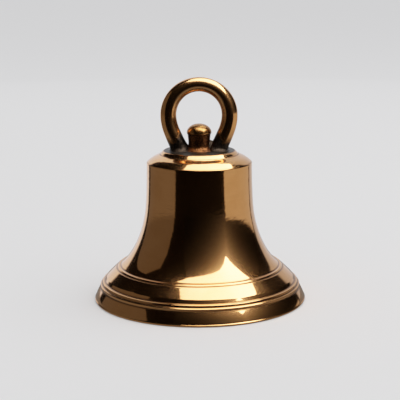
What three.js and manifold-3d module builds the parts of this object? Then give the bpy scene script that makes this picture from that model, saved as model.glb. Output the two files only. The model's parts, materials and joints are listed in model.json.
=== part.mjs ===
// Ship's bell: a cast bell standing on its mouth, a hanging loop and a domed boss on its crown,
// and a ball clapper that swings on a pin between the cheeks of a forked staple.
// Millimetres, +Z up. The origin is the centre of the mouth, on the plane that the rim stands on.
// The loop lies in the XZ plane and the clapper's pin lies along Y.

import * as THREE from 'three';
import * as BufferGeometryUtils from 'three/addons/utils/BufferGeometryUtils.js';
import Module from 'manifold-3d';

// ---- Driving dimensions ----

// Bell, outside
const MOUTH_R = 100;              // widest radius, at the rim
const SHOULDER_R = 49.4;          // radius of the crease under the shoulder
const CROWN_Z = 142;              // flat top of the crown
const SHOULDER_DROP = 11.5;       // the crease is this far under the crown
const CROWN_DISC_R = 34.2;
const RIM_ROUND = 1.5;            // rounding of the rim's outer edge
const WAIST_SWELL = 1.8;          // how far the waist has opened where the flare begins
const WAIST_DROP = 45.4;          // the flare begins this far under the shoulder
const FLARE_END_IN = 25.5;        // the flare ends this far inside the mouth radius
const FLARE_END_Z = 33.4;
const SKIRT_TOP_IN = 20.5;        // top edge of the skirt band, inside the mouth radius
const SKIRT_TOP_Z = 31;
const SKIRT_FOOT_IN = 10.4;       // foot of the skirt band
const SKIRT_FOOT_Z = 19.2;
const LIP_TOP_IN = 5.1;           // top of the plain lip under the lower beads
const LIP_TOP_Z = 12.4;
const BEAD_R = 1.15;              // half-round beads of the mouldings
const UPPER_BEAD = { in: 23.2, z: 32.1 };
const LOWER_BEADS = [{ in: 8.5, z: 17.3 }, { in: 6.4, z: 14.3 }];

// Bell, inside
const WAIST_WALL = 4.5;
const BOW_WALL = 8;               // wall of the sound bow, behind the skirt band
const CROWN_WALL = 7;
const RIM_LAND = 2.2;             // flat ring that the bell stands on
const INNER_CORNER_R = 10;

// Hanging loop
const LOOP_R = 28.5;              // centre line of the round top
const LOOP_CENTRE_H = 32.8;       // centre of the round top above the crown
const LOOP_BAR_TOP_R = 6.7;
const LOOP_BAR_SIDE_R = 7.5;
const LOOP_BAR_FOOT_R = 8;
const LOOP_FOOT_X = 17.6;         // centre of each foot on the crown
const LOOP_FOOT_LEAN = 0.42;      // sideways travel of a leg per unit of height at its foot
const TENON_R = 4;
const TENON_DEPTH = 5;

// Domed boss that takes the staple's bolt
const BOSS_R = 11.7;              // radius of the dome's rim
const BOSS_H = 24.8;
const BOSS_DOME_H = 8.3;
const BOSS_NECK_R = 10.5;
const BOSS_FOOT_R = 11.6;
const BOSS_FOOT_H = 4;
const BOSS_RIM_H = 2;             // the neck widens over this height to meet the dome's rim
const BOSS_BORE_SPARE = 1;        // bore that goes on past the end of the bolt

// Forked staple under the crown
const BOLT_R = 5;
const BOLT_REACH = 15;            // how far the bolt enters the boss
const COLLAR_R = 13;
const COLLAR_T = 4;
const CHEEK_R = 8;
const CHEEK_T = 4;
const PIVOT_DROP = 15;            // pin axis under the collar
const PAD_T = 1.5;                // leather pad between collar and crown
const PAD_R = 15;

// Pin, its washers and its split pin
const PIN_R = 3;
const PIN_HEAD_R = 5;
const PIN_HEAD_T = 2;
const PIN_TAIL = 5;               // pin that stands out past the cheek
const PIN_WASHER_R = 6.5;
const PIN_WASHER_T = 1;
const SPLIT_PIN_R = 0.8;
const SPLIT_PIN_SPARE = 3;        // split pin that stands out on each side of the pin

// Clapper
const EYE_R = 9;
const EYE_T = 8;
const BUSH_WALL = 1.6;
const ROD_TOP_R = 4;
const ROD_FOOT_R = 5;
const ROD_STOP_H = 4;             // shoulder of the rod that bears on the ball
const BALL_R = 14.5;
const BALL_FLAT_R = 6.6;          // spot faces at the top and bottom of the ball
const STUD_R = 3.5;               // threaded foot of the rod, through the ball
const STUD_REACH = 3.5;           // thread engaged in the lanyard eye
const BALL_WASHER_R = 6.3;
const BALL_WASHER_T = 1.2;
const LANYARD_EYE_R = 6;
const LANYARD_HOLE_R = 3.3;
const LANYARD_EYE_T = 4.6;
const LANYARD_CROWN = 2.2;        // metal between the stud's bore and the lanyard hole
const LANYARD_HUB_R = 6;
const LANYARD_HUB_H = 5;
const TAIL_Z = 4;                 // lowest point of the hanging clapper above the rim plane

// Clearances
const SEAT_GAP = 0.3;             // between pieces that bear on each other
const HOLE_GAP = 0.3;             // round a bolt, pin or bush in its hole
const OVERCUT = 1;                // how far a cutter runs past the face it cuts

// Facets
const BELL_SIDES = 56;
const LOOP_SIDES = 16;
const LOOP_STEPS = 34;
const ROUND_SIDES = 28;
const SMALL_SIDES = 20;

// ---- Materials ----

const buffedBronze = { color: 0xa9713c, roughness: 0.18, metalness: 1 };
const castBronze = { color: 0x6d4a2c, roughness: 0.55, metalness: 1 };
const steel = { color: 0x8d8f92, roughness: 0.35, metalness: 1 };
const brass = { color: 0xb8935a, roughness: 0.35, metalness: 1 };
const leather = { color: 0x4a3020, roughness: 0.85, metalness: 0 };

// ---- Solids ----

const wasm = await Module();
wasm.setup();

function solid(geometry) {
  const bare = geometry.index ? geometry.toNonIndexed() : geometry.clone();
  bare.deleteAttribute('normal');
  bare.deleteAttribute('uv');
  const merged = BufferGeometryUtils.mergeVertices(bare, 1e-4);
  return new wasm.Manifold(new wasm.Mesh({
    numProp: 3,
    vertProperties: new Float32Array(merged.attributes.position.array),
    triVerts: new Uint32Array(merged.index.array),
  }));
}

function geometryOf(manifold) {
  const mesh = manifold.getMesh();
  const geometry = new THREE.BufferGeometry();
  geometry.setAttribute('position', new THREE.BufferAttribute(mesh.vertProperties, 3));
  geometry.setIndex(new THREE.BufferAttribute(mesh.triVerts, 1));
  return geometry;
}

const group = new THREE.Group();

function addPiece(name, shape, look) {
  const geometry = shape.isBufferGeometry ? shape : geometryOf(shape);
  const mesh = new THREE.Mesh(geometry, new THREE.MeshStandardMaterial(look));
  mesh.name = name;
  group.add(mesh);
  return mesh;
}

// A lathe turned about Z. The profile is a list of [radius, height] points, going up the outside.
function turned(profile, sides) {
  const points = profile.map(([r, z]) => new THREE.Vector2(r, z));
  return new THREE.LatheGeometry(points, sides).rotateX(Math.PI / 2);
}

function rod(radius, bottom, top, sides = ROUND_SIDES) {
  return solid(turned([[0, bottom], [radius, bottom], [radius, top], [0, top]], sides));
}

// A rod along Y, centred on x = 0 at the height z.
function crossRod(radius, back, front, z, sides = ROUND_SIDES) {
  const geometry = new THREE.CylinderGeometry(radius, radius, front - back, sides);
  return solid(geometry.translate(0, (back + front) / 2, z));
}

function ring(inner, outer, bottom, top, sides = ROUND_SIDES) {
  const profile = [[inner, bottom], [outer, bottom], [outer, top], [inner, top], [inner, bottom]];
  return solid(turned(profile, sides));
}

function arcPoints(centreR, centreZ, radius, fromDeg, toDeg, steps) {
  const points = [];
  for (let i = 0; i <= steps; i += 1) {
    const angle = THREE.MathUtils.degToRad(fromDeg + (toDeg - fromDeg) * i / steps);
    points.push([centreR + radius * Math.cos(angle), centreZ + radius * Math.sin(angle)]);
  }
  return points;
}

function curvePoints(curve, steps) {
  return curve.getPoints(steps).map((point) => [point.x, point.y]);
}

// ---- Bell ----

const shoulderZ = CROWN_Z - SHOULDER_DROP;
const crownUnderZ = CROWN_Z - CROWN_WALL;
const innerShoulderR = SHOULDER_R - WAIST_WALL;
const flareTop = new THREE.Vector2(SHOULDER_R + WAIST_SWELL, shoulderZ - WAIST_DROP);
const flareEnd = new THREE.Vector2(MOUTH_R - FLARE_END_IN, FLARE_END_Z);
const skirtTop = new THREE.Vector2(MOUTH_R - SKIRT_TOP_IN, SKIRT_TOP_Z);
const skirtFoot = new THREE.Vector2(MOUTH_R - SKIRT_FOOT_IN, SKIRT_FOOT_Z);
const lipTop = new THREE.Vector2(MOUTH_R - LIP_TOP_IN, LIP_TOP_Z);

function between(start, end, startTurn, startShare, endTurn, endShare) {
  const drop = start.y - end.y;
  return new THREE.CubicBezierCurve(
    start,
    new THREE.Vector2(start.x + startTurn * startShare * drop, start.y - startShare * drop),
    new THREE.Vector2(end.x - endTurn * endShare * drop, end.y + endShare * drop),
    end,
  );
}

const shoulder = new THREE.Vector2(SHOULDER_R, shoulderZ);
const waist = between(shoulder, flareTop, 0, 0.25, 0.12, 0.24);
const flare = between(flareTop, flareEnd, 0.12, 0.39, 1.18, 0.2);
const skirt = new THREE.CubicBezierCurve(
  skirtTop,
  new THREE.Vector2(skirtTop.x + 0.7, skirtTop.y - 3.5),
  new THREE.Vector2(skirtFoot.x - 4.6, skirtFoot.y + 4.3),
  skirtFoot,
);

// The inside follows the outside at a wall that thickens steadily from the shoulder to the bow.
function insidePoints(curve, steps, wallAtStart, wallAtEnd) {
  const points = [];
  for (let i = 0; i <= steps; i += 1) {
    const at = curve.getPoint(i / steps);
    const along = curve.getTangent(i / steps);
    const wall = wallAtStart + (wallAtEnd - wallAtStart) * i / steps;
    points.push([at.x + along.y * wall, at.y - along.x * wall]);
  }
  return points;
}

function bead(seat) {
  return arcPoints(MOUTH_R - seat.in, seat.z, BEAD_R, -55, 120, 3);
}

function bellOutside() {
  return [
    ...arcPoints(MOUTH_R - RIM_ROUND, RIM_ROUND, RIM_ROUND, -90, 10, 3),
    [lipTop.x, lipTop.y],
    ...LOWER_BEADS.slice().reverse().flatMap(bead),
    ...curvePoints(skirt, 4).reverse(),
    ...bead(UPPER_BEAD),
    ...curvePoints(flare, 8).reverse(),
    ...curvePoints(waist, 3).reverse().slice(1),
    [SHOULDER_R - 0.8, shoulderZ + 1.3],
    [CROWN_DISC_R + 1.6, CROWN_Z - 1.9],
    [CROWN_DISC_R - 0.2, CROWN_Z - 0.5],
    [CROWN_DISC_R - 1.7, CROWN_Z],
  ];
}

function bellInside() {
  const top = insidePoints(waist, 3, WAIST_WALL, WAIST_WALL);
  const middle = insidePoints(flare, 6, WAIST_WALL, BOW_WALL);
  const low = insidePoints(skirt, 3, BOW_WALL, BOW_WALL).slice(1);
  const cornerZ = crownUnderZ - INNER_CORNER_R;
  return [
    ...arcPoints(innerShoulderR - INNER_CORNER_R, cornerZ, INNER_CORNER_R, 90, 0, 3),
    ...top.filter(([, z]) => z < cornerZ - OVERCUT),
    ...middle.slice(1),
    ...low,
    [MOUTH_R - RIM_ROUND - RIM_LAND, 0],
  ];
}

const boltHoleR = BOLT_R + HOLE_GAP;

function bellBody() {
  const profile = [
    ...bellOutside(),
    [boltHoleR, CROWN_Z],
    [boltHoleR, crownUnderZ],
    ...bellInside(),
  ];
  profile.push(profile[0]);
  let body = solid(turned(profile, BELL_SIDES));
  for (const side of [-1, 1]) {
    const socket = rod(TENON_R + HOLE_GAP, CROWN_Z - TENON_DEPTH - SEAT_GAP, CROWN_Z + OVERCUT, SMALL_SIDES);
    body = body.subtract(socket.translate([side * LOOP_FOOT_X, 0, 0]));
  }
  return body;
}

addPiece('bell_body', bellBody(), buffedBronze);

// ---- Hanging loop ----

const loopSeatZ = CROWN_Z + SEAT_GAP;
const loopCentreZ = CROWN_Z + LOOP_CENTRE_H;
const boltTopZ = loopSeatZ + BOLT_REACH;
const bossOutR = Math.max(BOSS_R, BOSS_FOOT_R);

// One leg's centre line, from under the crown up to the side of the round top.
function legCurve(side) {
  const buried = LOOP_BAR_FOOT_R;
  const grip = 0.36 * LOOP_CENTRE_H;
  return new THREE.CubicBezierCurve3(
    new THREE.Vector3(side * (LOOP_FOOT_X - LOOP_FOOT_LEAN * buried), 0, CROWN_Z - buried),
    new THREE.Vector3(side * (LOOP_FOOT_X + LOOP_FOOT_LEAN * grip), 0, CROWN_Z + grip),
    new THREE.Vector3(side * LOOP_R, 0, loopCentreZ - grip),
    new THREE.Vector3(side * LOOP_R, 0, loopCentreZ),
  );
}

class TopArc extends THREE.Curve {
  getPoint(t, target = new THREE.Vector3()) {
    const angle = Math.PI * (1 - t);
    return target.set(LOOP_R * Math.cos(angle), 0, loopCentreZ + LOOP_R * Math.sin(angle));
  }
}

class Reversed extends THREE.Curve {
  constructor(curve) {
    super();
    this.curve = curve;
  }

  getPoint(t, target = new THREE.Vector3()) {
    return this.curve.getPoint(1 - t, target);
  }
}

function loopPath() {
  const path = new THREE.CurvePath();
  path.add(legCurve(-1));
  path.add(new TopArc());
  path.add(new Reversed(legCurve(1)));
  return path;
}

// The bar is thinnest at the top, fuller at the sides and fullest at the feet.
function loopBarR(z) {
  if (z >= loopCentreZ) {
    const rise = (z - loopCentreZ) / LOOP_R;
    return THREE.MathUtils.lerp(LOOP_BAR_SIDE_R, LOOP_BAR_TOP_R, Math.min(1, rise) ** 2);
  }
  const fall = (loopCentreZ - z) / LOOP_CENTRE_H;
  return THREE.MathUtils.lerp(LOOP_BAR_SIDE_R, LOOP_BAR_FOOT_R, Math.min(1, fall));
}

// A unit cylinder bent along the loop's centre line.
function bentBar(path) {
  const geometry = new THREE.CylinderGeometry(1, 1, 1, LOOP_SIDES, LOOP_STEPS);
  const position = geometry.attributes.position;
  for (let i = 0; i < position.count; i += 1) {
    const at = path.getPointAt(THREE.MathUtils.clamp(position.getY(i) + 0.5, 0, 1));
    const along = path.getTangentAt(THREE.MathUtils.clamp(position.getY(i) + 0.5, 0, 1));
    const outward = new THREE.Vector3(-along.z, 0, along.x);
    const radius = loopBarR(at.z);
    at.addScaledVector(outward, position.getX(i) * radius);
    at.y += position.getZ(i) * radius;
    position.setXYZ(i, at.x, at.y, at.z);
  }
  return geometry;
}

function crownLoop() {
  const reach = LOOP_FOOT_X + 3 * LOOP_BAR_FOOT_R;
  let loop = solid(bentBar(loopPath()));
  loop = loop.subtract(rod(reach, CROWN_Z - 4 * LOOP_BAR_FOOT_R, loopSeatZ));
  for (const side of [-1, 1]) {
    const tenon = rod(TENON_R, CROWN_Z - TENON_DEPTH, loopSeatZ + OVERCUT, SMALL_SIDES);
    loop = loop.add(tenon.translate([side * LOOP_FOOT_X, 0, 0]));
  }
  return loop.subtract(rod(bossOutR + SEAT_GAP, CROWN_Z, CROWN_Z + BOSS_H));
}

addPiece('crown_loop', crownLoop(), buffedBronze);

// ---- Domed boss ----

function crownBoss() {
  const rimZ = CROWN_Z + BOSS_H - BOSS_DOME_H;
  const dome = [];
  for (let i = 0; i <= 7; i += 1) {
    const angle = (Math.PI / 2) * i / 7;
    dome.push([BOSS_R * Math.cos(angle), rimZ + BOSS_DOME_H * Math.sin(angle)]);
  }
  dome[dome.length - 1][0] = 0;
  const boreR = BOLT_R + HOLE_GAP;
  const boreTop = boltTopZ + BOSS_BORE_SPARE;
  return turned([
    [0, boreTop + boreR / 2],
    [boreR, boreTop],
    [boreR, loopSeatZ],
    [BOSS_FOOT_R, loopSeatZ],
    [(BOSS_FOOT_R + BOSS_NECK_R) / 2, loopSeatZ + BOSS_FOOT_H * 0.4],
    [BOSS_NECK_R, loopSeatZ + BOSS_FOOT_H],
    [BOSS_NECK_R, rimZ - BOSS_RIM_H],
    [BOSS_R, rimZ - BOSS_RIM_H / 2],
    ...dome,
  ], ROUND_SIDES);
}

addPiece('crown_boss', crownBoss(), buffedBronze);

// ---- Forked staple, pad and pin ----

const collarTopZ = crownUnderZ - PAD_T - 2 * SEAT_GAP;
const collarFootZ = collarTopZ - COLLAR_T;
const pivotZ = collarFootZ - PIVOT_DROP;
const bushHalf = EYE_T / 2 + SEAT_GAP;
const cheekInY = bushHalf + PIN_WASHER_T + 2 * SEAT_GAP;
const cheekOutY = cheekInY + CHEEK_T;
const splitPinY = cheekOutY + PIN_TAIL / 2;

function cheek(side) {
  const outline = new THREE.Shape();
  outline.moveTo(-CHEEK_R, collarFootZ + OVERCUT);
  outline.lineTo(-CHEEK_R, pivotZ);
  outline.absarc(0, pivotZ, CHEEK_R, Math.PI, 2 * Math.PI, false);
  outline.lineTo(CHEEK_R, collarFootZ + OVERCUT);
  outline.closePath();
  const plate = new THREE.ExtrudeGeometry(outline, { depth: CHEEK_T, bevelEnabled: false, curveSegments: 8 });
  plate.rotateX(Math.PI / 2);
  return solid(plate.translate(0, side < 0 ? -cheekInY : cheekOutY, 0));
}

function clapperStaple() {
  return rod(BOLT_R, collarFootZ + OVERCUT, boltTopZ, SMALL_SIDES)
    .add(rod(COLLAR_R, collarFootZ, collarTopZ))
    .add(cheek(-1))
    .add(cheek(1))
    .subtract(crossRod(PIN_R + HOLE_GAP, -cheekOutY - OVERCUT, cheekOutY + OVERCUT, pivotZ, SMALL_SIDES));
}

addPiece('clapper_staple', clapperStaple(), steel);
addPiece('staple_pad', ring(boltHoleR, PAD_R, collarTopZ + SEAT_GAP, crownUnderZ - SEAT_GAP), leather);

function pivotPin() {
  const headY = -cheekOutY - SEAT_GAP;
  const hole = rod(SPLIT_PIN_R + HOLE_GAP, -PIN_HEAD_R, PIN_HEAD_R, SMALL_SIDES);
  return crossRod(PIN_R, headY - OVERCUT, cheekOutY + PIN_TAIL, pivotZ, SMALL_SIDES)
    .add(crossRod(PIN_HEAD_R, headY - PIN_HEAD_T, headY, pivotZ, SMALL_SIDES))
    .subtract(hole.translate([0, splitPinY, pivotZ]));
}

addPiece('pivot_pin', pivotPin(), steel);

function pinWasher() {
  const washer = ring(PIN_R + HOLE_GAP, PIN_WASHER_R, -PIN_WASHER_T / 2, PIN_WASHER_T / 2, SMALL_SIDES);
  return geometryOf(washer).rotateX(Math.PI / 2);
}

const washerY = bushHalf + SEAT_GAP + PIN_WASHER_T / 2;
for (const [name, y] of [['pin_washer_front', -washerY], ['pin_washer_back', washerY]]) {
  addPiece(name, pinWasher(), brass).position.set(0, y, pivotZ);
}

function splitPin() {
  const reach = PIN_R + SPLIT_PIN_SPARE;
  const loopR = 1.7 * SPLIT_PIN_R;
  const head = new THREE.TorusGeometry(loopR, SPLIT_PIN_R * 0.8, 8, 14).rotateY(Math.PI / 2);
  return rod(SPLIT_PIN_R, -reach, reach, 12).add(solid(head.translate(0, 0, reach + loopR)));
}

addPiece('split_pin', splitPin(), steel).position.set(0, splitPinY, pivotZ);

// ---- Clapper ----

const bushInR = PIN_R + HOLE_GAP;
const bushOutR = bushInR + BUSH_WALL;

// The hanging clapper is stacked up from its lowest point.
const lanyardHoleZ = TAIL_Z + LANYARD_EYE_R;
const studFootZ = lanyardHoleZ + LANYARD_HOLE_R + LANYARD_CROWN + SEAT_GAP;
const hubTopZ = studFootZ + STUD_REACH;
const washerFootZ = hubTopZ + SEAT_GAP;
const washerTopZ = washerFootZ + BALL_WASHER_T;
const ballSeat = Math.sqrt(BALL_R ** 2 - BALL_FLAT_R ** 2);
const ballFootZ = washerTopZ + SEAT_GAP;
const ballZ = ballFootZ + ballSeat;
const ballTopZ = ballZ + ballSeat;

function clapperBush() {
  const bush = ring(bushInR, bushOutR, -bushHalf, bushHalf, SMALL_SIDES);
  return geometryOf(bush).rotateX(Math.PI / 2);
}

addPiece('clapper_bush', clapperBush(), brass).position.set(0, 0, pivotZ);

function clapperShank() {
  const stopZ = ballTopZ + SEAT_GAP;
  const bar = turned([
    [0, studFootZ],
    [STUD_R, studFootZ],
    [STUD_R, stopZ],
    [BALL_FLAT_R, stopZ],
    [BALL_FLAT_R, stopZ + ROD_STOP_H / 2],
    [ROD_FOOT_R, stopZ + ROD_STOP_H],
    [ROD_TOP_R, pivotZ - EYE_R],
    [ROD_TOP_R, pivotZ - bushOutR],
    [0, pivotZ - bushOutR],
  ], SMALL_SIDES);
  return solid(bar)
    .add(crossRod(EYE_R, -EYE_T / 2, EYE_T / 2, pivotZ))
    .subtract(crossRod(bushOutR + HOLE_GAP, -EYE_T, EYE_T, pivotZ, SMALL_SIDES));
}

addPiece('clapper_shank', clapperShank(), steel);

function clapperBall() {
  const flatDeg = THREE.MathUtils.radToDeg(Math.asin(ballSeat / BALL_R));
  const boreR = STUD_R + HOLE_GAP;
  const profile = [
    [boreR, ballFootZ],
    ...arcPoints(0, ballZ, BALL_R, -flatDeg, flatDeg, 12),
    [boreR, ballTopZ],
    [boreR, ballFootZ],
  ];
  return turned(profile, ROUND_SIDES);
}

addPiece('clapper_ball', clapperBall(), castBronze);

const ballWasher = ring(STUD_R + HOLE_GAP, BALL_WASHER_R, washerFootZ, washerTopZ, SMALL_SIDES);
addPiece('ball_washer', ballWasher, steel);

function lanyardEye() {
  const half = LANYARD_EYE_T / 2;
  const reach = LANYARD_HUB_R + OVERCUT;
  return rod(LANYARD_HUB_R, hubTopZ - LANYARD_HUB_H, hubTopZ, SMALL_SIDES)
    .add(crossRod(LANYARD_EYE_R, -half, half, lanyardHoleZ))
    .subtract(rod(STUD_R + HOLE_GAP, studFootZ - SEAT_GAP, hubTopZ + OVERCUT, SMALL_SIDES))
    .subtract(crossRod(LANYARD_HOLE_R, -reach, reach, lanyardHoleZ, SMALL_SIDES));
}

addPiece('lanyard_eye', lanyardEye(), brass);

export default group;
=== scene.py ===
import json
import math

import bpy
import numpy as np
from mathutils import Euler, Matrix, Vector


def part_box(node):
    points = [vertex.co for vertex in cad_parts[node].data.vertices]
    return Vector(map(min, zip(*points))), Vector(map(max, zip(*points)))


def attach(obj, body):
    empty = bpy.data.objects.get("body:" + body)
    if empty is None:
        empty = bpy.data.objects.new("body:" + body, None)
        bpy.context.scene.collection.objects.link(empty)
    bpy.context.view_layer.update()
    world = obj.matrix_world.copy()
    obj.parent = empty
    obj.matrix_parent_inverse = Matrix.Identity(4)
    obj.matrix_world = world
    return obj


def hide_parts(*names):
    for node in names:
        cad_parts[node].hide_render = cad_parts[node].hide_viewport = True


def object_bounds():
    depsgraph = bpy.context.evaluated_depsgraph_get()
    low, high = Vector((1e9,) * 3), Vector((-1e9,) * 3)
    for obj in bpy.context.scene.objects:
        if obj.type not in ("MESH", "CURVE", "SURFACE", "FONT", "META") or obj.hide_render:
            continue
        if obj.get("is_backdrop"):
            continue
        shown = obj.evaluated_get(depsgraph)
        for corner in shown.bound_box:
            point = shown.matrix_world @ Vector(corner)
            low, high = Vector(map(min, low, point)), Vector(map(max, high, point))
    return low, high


# A ship's bell: a cast bronze bell turned and buffed bright, a hanging loop and a domed boss on
# its crown, and a ball clapper hung on a pin in a forked staple. The bell's lengths are
# millimetres, which make_piece turns to metres. Materials, camera and studio are in metres.

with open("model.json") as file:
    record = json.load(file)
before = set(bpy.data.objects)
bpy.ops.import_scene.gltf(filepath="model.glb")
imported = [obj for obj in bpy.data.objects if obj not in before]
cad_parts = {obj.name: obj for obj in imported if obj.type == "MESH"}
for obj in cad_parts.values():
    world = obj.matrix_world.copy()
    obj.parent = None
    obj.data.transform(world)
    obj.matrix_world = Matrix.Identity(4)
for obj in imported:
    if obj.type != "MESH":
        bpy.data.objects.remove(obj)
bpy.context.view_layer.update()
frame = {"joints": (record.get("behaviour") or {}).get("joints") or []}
MM = 0.001


def cad_box(node):
    """Lowest and highest corner of a CAD node, in millimetres."""
    low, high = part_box(node)
    return np.array(low) / MM, np.array(high) / MM


# ---- Sizes taken from the frame ----

MOUTH_R = round(cad_box("bell_body")[1][0], 1)
CROWN_Z = cad_box("bell_body")[1][2]
LOOP_TOP_Z = cad_box("crown_loop")[1][2]
BOSS_TOP_Z = cad_box("crown_boss")[1][2]
PIVOT_Z = frame["joints"][0]["pos_m"][2] / MM

# ---- Sizes of the bell's outline ----

CROWN_DISC_R = 34.2
CROWN_WALL = 7.0
WAIST_WALL = 4.5
BOW_WALL = 8.0
SHOULDER_R = 49.4
SHOULDER_Z = CROWN_Z - 11.5
WAIST_FOOT = (51.2, SHOULDER_Z - 45.4)
FLARE_FOOT = (MOUTH_R - 25.5, 33.4)
SKIRT_TOP = (MOUTH_R - 20.6, 30.8)
SKIRT_FOOT = (MOUTH_R - 10.2, 19.5)
LIP_TOP = (MOUTH_R - 5.2, 12.4)
RIM_ROUND = 1.5
RIM_LAND = 2.2
BOLT_HOLE_R = 5.3
INNER_CORNER_R = 10.0

# ---- Surfaces ----


def bezier(p0, p1, p2, p3, count):
    """Points of the cubic (1-t)^3 p0 + 3(1-t)^2 t p1 + 3(1-t) t^2 p2 + t^3 p3, t from 0 to 1."""
    t = np.linspace(0, 1, count)[:, None]
    p0, p1, p2, p3 = (np.array(p, float) for p in (p0, p1, p2, p3))
    return (1 - t) ** 3 * p0 + 3 * (1 - t) ** 2 * t * p1 + 3 * (1 - t) * t**2 * p2 + t**3 * p3


def arc(centre, radius, start_deg, end_deg, count):
    """Points of a circle round centre, at equal steps of angle."""
    a = np.radians(np.linspace(start_deg, end_deg, count))
    return np.stack([centre[0] + radius * np.cos(a), centre[1] + radius * np.sin(a)], 1)


def ridge(start, end, height, count):
    """A straight run from start to end lifted along its left normal by height times sin^2(pi t):
    a bead where height is positive and a groove where it is negative."""
    start, end = np.array(start, float), np.array(end, float)
    t = np.linspace(0, 1, count)[:, None]
    along = (end - start) / np.linalg.norm(end - start)
    normal = np.array([-along[1], along[0]])
    return start + t * (end - start) + normal * height * np.sin(np.pi * t) ** 2


def chain(*runs):
    """The runs one after another, without the points that two neighbours share."""
    points = [np.asarray(runs[0], float)]
    for run in runs[1:]:
        run = np.asarray(run, float)
        if np.linalg.norm(run[0] - points[-1][-1]) < 1e-6:
            run = run[1:]
        points.append(run)
    return np.concatenate(points)


def offset(points, wall):
    """The points each moved by their own wall along the right normal of the line through them."""
    along = np.gradient(points, axis=0)
    along /= np.linalg.norm(along, axis=1)[:, None]
    return points + np.stack([along[:, 1], -along[:, 0]], 1) * wall[:, None]


def rounded_loop(corners, radius, count=5):
    """A closed outline whose corners are rounded by radius. Each corner c is the quadratic curve
    (1-t)^2 a + 2 (1-t) t c + t^2 b from a point a before it to a point b after it."""
    corners = np.array(corners, float)
    t = np.linspace(0, 1, count)[None, :, None]
    ends = []
    for turn in (1, -1):
        side = np.roll(corners, turn, axis=0) - corners
        length = np.linalg.norm(side, axis=1)[:, None]
        ends.append((corners + side / length * np.minimum(radius, 0.45 * length))[:, None])
    return ((1 - t) ** 2 * ends[0] + 2 * (1 - t) * t * corners[:, None] + t**2 * ends[1]).reshape(-1, 2)


def grid_faces(rows, columns, wrap_rows):
    """Quads between neighbours of a rows x columns grid whose columns always wrap round."""
    r = np.arange(rows if wrap_rows else rows - 1)[:, None]
    c = np.arange(columns)[None, :]
    r_next, c_next = (r + 1) % rows, (c + 1) % columns
    quads = [r * columns + c, r * columns + c_next, r_next * columns + c_next, r_next * columns + c]
    return np.stack([np.broadcast_to(q, (len(r), columns)) for q in quads], -1).reshape(-1, 4)


def closed_surface(grid, wrap_rows):
    """Vertices, quads and triangles of a grid of points. The rows either wrap round, as on a ring,
    or the first and last row are each closed by a fan of triangles to their middle point."""
    rows, columns, _ = grid.shape
    vertices, quads = grid.reshape(-1, 3), grid_faces(rows, columns, wrap_rows)
    triangles = np.zeros((0, 3), int)
    if not wrap_rows:
        first, last = len(vertices), len(vertices) + 1
        vertices = np.concatenate([vertices, [grid[0].mean(0), grid[-1].mean(0)]])
        c = np.arange(columns)
        c_next = (c + 1) % columns
        top = (rows - 1) * columns
        triangles = np.concatenate([
            np.stack([np.full(columns, first), c_next, c], 1),
            np.stack([np.full(columns, last), top + c, top + c_next], 1),
        ])
    return vertices, quads, triangles


def revolve(profile, sides, about="z", centre=(0, 0, 0)):
    """Turns the profile's points (r, h) about an axis: (r cos a, r sin a, h) for angles a all round.
    A profile that starts and ends on the axis is closed by poles; any other is a closed ring."""
    profile = np.asarray(profile, float)
    on_axis = profile[0, 0] < 1e-6 and profile[-1, 0] < 1e-6
    if on_axis:
        profile = profile[1:-1]
    a = np.linspace(0, 2 * np.pi, sides, endpoint=False)
    r, h = profile[:, :1], profile[:, 1:]
    across, up = r * np.cos(a), r * np.sin(a)
    height = np.broadcast_to(h, across.shape)
    if about == "z":
        grid = np.stack([across, up, height], -1)
    else:
        grid = np.stack([up, height, across], -1)
    return closed_surface(grid + np.array(centre, float), wrap_rows=not on_axis)


def tube(path, radius, outward, side, sides):
    """Carries a round section along a path: path + radius (cos a outward + sin a side)."""
    a = np.linspace(0, 2 * np.pi, sides, endpoint=False)
    ring = np.cos(a)[None, :, None] * outward[:, None, :] + np.sin(a)[None, :, None] * side[:, None, :]
    return closed_surface(path[:, None, :] + radius * ring, wrap_rows=False)


def six_volumes(vertices, a, b, c):
    """Six times the signed volume under triangles a, b, c: the sum of a . (b x c)."""
    return np.einsum("ij,ij->", vertices[a], np.cross(vertices[b], vertices[c]))


def face_outward(vertices, quads, triangles):
    """The faces as given if the volume they close is positive, or else all turned over."""
    volume = six_volumes(vertices, *quads[:, :3].T) + six_volumes(vertices, *quads[:, [0, 2, 3]].T)
    volume += six_volumes(vertices, *triangles.T)
    return (quads, triangles) if volume > 0 else (quads[:, ::-1], triangles[:, ::-1])


def add_mesh(name, points, faces, material):
    """A new object in the scene, from points in metres, faces, and one material."""
    mesh = bpy.data.meshes.new(name)
    mesh.from_pydata(points.tolist(), [], faces)
    mesh.materials.append(material)
    thing = bpy.data.objects.new(name, mesh)
    bpy.context.scene.collection.objects.link(thing)
    return thing


def make_piece(name, surfaces, material, body, nodes, layers=None):
    """Joins closed surfaces in millimetres into one smooth object in metres, riding on its body.
    Each layer is a measure from 0 to 1 of its vertices, for the material to read."""
    vertices, faces, start = [], [], 0
    for surface in surfaces:
        quads, triangles = face_outward(*surface)
        vertices.append(surface[0])
        faces += (quads + start).tolist() + (triangles + start).tolist()
        start += len(surface[0])
    vertices = np.concatenate(vertices)
    piece = add_mesh(name, vertices * MM, faces, material)
    mesh = piece.data
    mesh.polygons.foreach_set("use_smooth", np.ones(len(mesh.polygons), bool))
    for layer_name, measure in (layers or {}).items():
        layer = mesh.attributes.new(layer_name, "FLOAT", "POINT")
        layer.data.foreach_set("value", measure(vertices).astype(np.float32))
    mesh.update()
    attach(piece, body)
    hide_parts(*nodes)


# ---- The bell ----


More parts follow.
